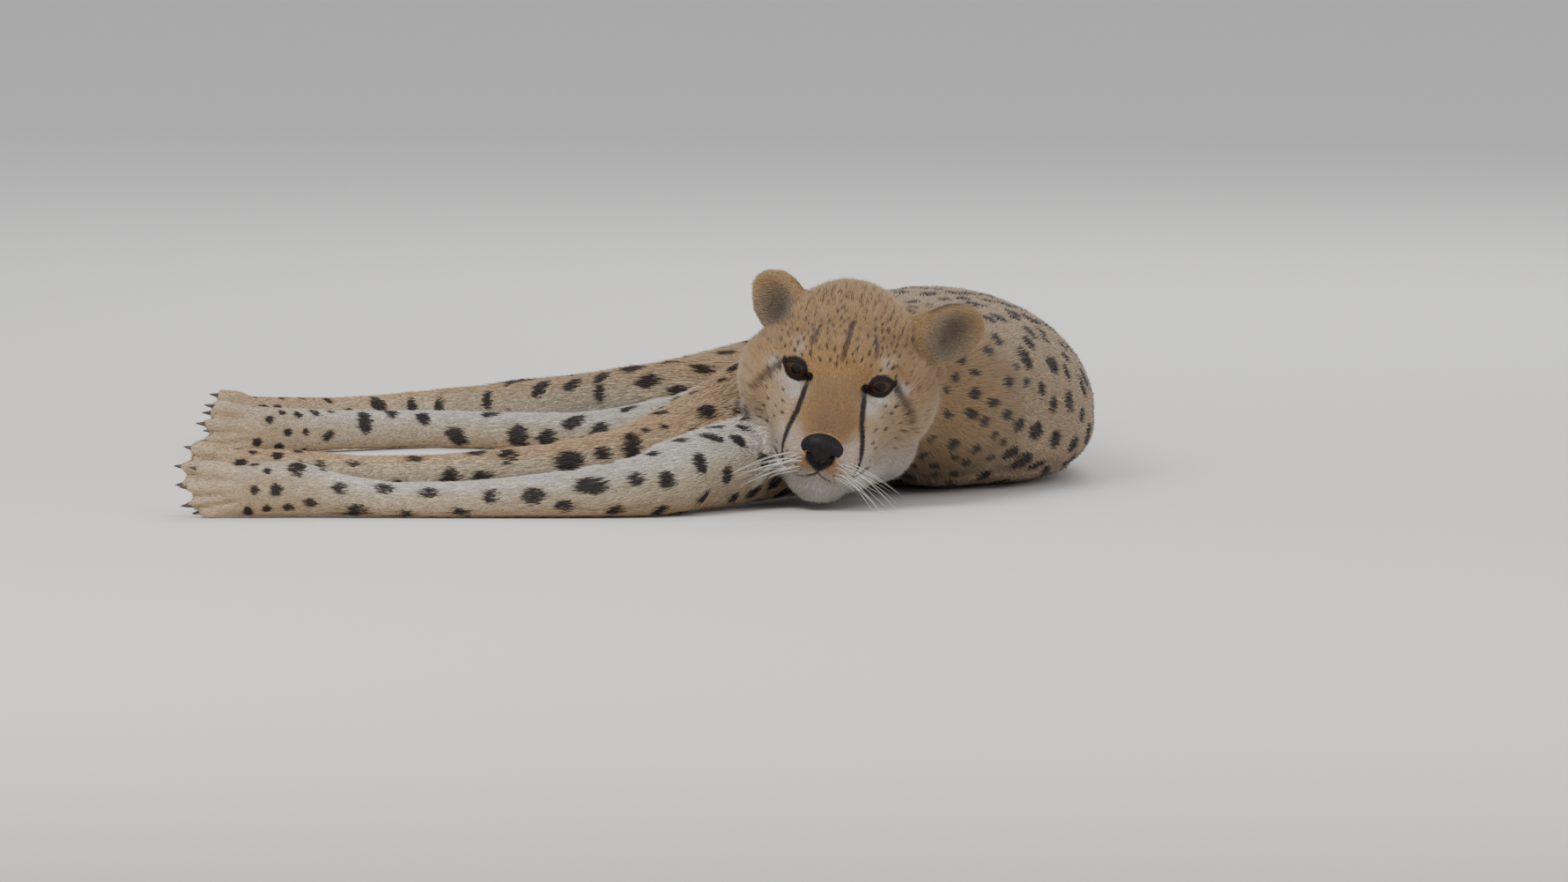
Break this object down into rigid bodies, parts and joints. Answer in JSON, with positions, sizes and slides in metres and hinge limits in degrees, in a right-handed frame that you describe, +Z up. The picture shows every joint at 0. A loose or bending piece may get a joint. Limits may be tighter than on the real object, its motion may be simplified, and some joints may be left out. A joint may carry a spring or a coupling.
{
  "type": "cheetah",
  "caption": "Life-size still model of a cheetah lying on its left side, legs stretched out, head upright with its chin on the ground",
  "frame": {"origin": "on the ground, under the middle of the model's box", "axes": "+Z up from the ground; +Y from the head to the tail, the face looks along -Y; -X is where the legs stretch to, +X the side of the back"},
  "size_m": [0.7848, 1.3888, 0.1989],
  "materials": {
    "tan_coat": "short fur, tan with black spots",
    "cream_coat": "short fur, cream to white with black spots",
    "nose_leather": "bare, fine-grained, slightly moist",
    "eye": "wet, clear over a brown iris"
  },
  "bodies": {
    "root": {"head": "tan_coat", "neck": "tan_coat", "chest": "tan_coat", "belly": "cream_coat", "hips": "tan_coat", "tail_root": "tan_coat", "tail_middle": "tan_coat", "tail_end": "cream_coat", "upper_arm_right": "cream_coat", "upper_arm_left": "tan_coat", "forearm_right": "cream_coat", "forearm_left": "cream_coat", "forepaw_right": "cream_coat", "forepaw_left": "cream_coat", "thigh_right": "cream_coat", "thigh_left": "cream_coat", "shank_right": "tan_coat", "shank_left": "cream_coat", "hind_foot_right": "tan_coat", "hind_foot_left": "cream_coat", "ear_right": "tan_coat", "ear_left": "tan_coat", "nose": "nose_leather", "eye_right": "eye", "eye_left": "eye"}
  },
  "joints": []
}
